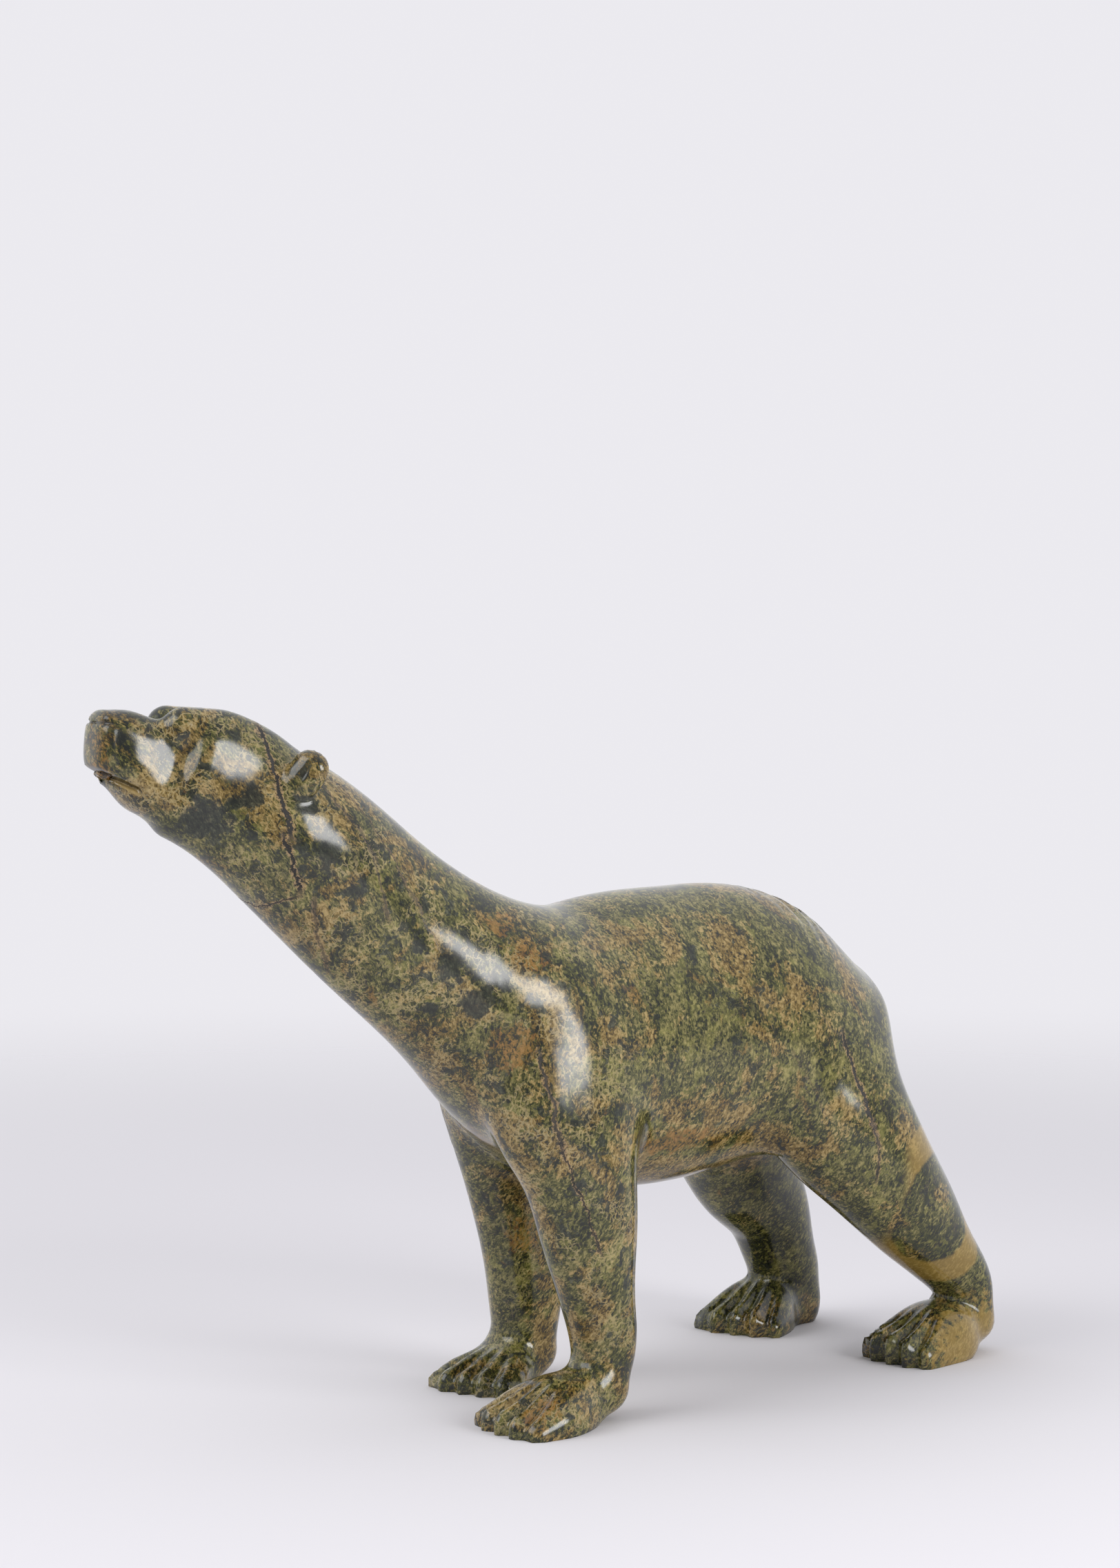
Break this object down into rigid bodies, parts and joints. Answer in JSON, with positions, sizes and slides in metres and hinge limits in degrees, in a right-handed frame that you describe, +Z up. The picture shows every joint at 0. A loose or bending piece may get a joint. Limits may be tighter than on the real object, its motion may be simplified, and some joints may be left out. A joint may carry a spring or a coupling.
{
  "type": "carved stone polar bear sculpture",
  "caption": "Walking polar bear with its head raised, carved in one piece from polished moss-green stone, standing on its own flat soles.",
  "frame": {"origin": "middle of the bear's length and width, on the ground under its soles", "axes": "+Z up, -X the way the bear looks, -Y its left side"},
  "size_m": [0.414, 0.1328, 0.2822],
  "materials": {
    "stone": "polished"
  },
  "bodies": {
    "root": {"polar_bear": "stone"}
  },
  "joints": []
}
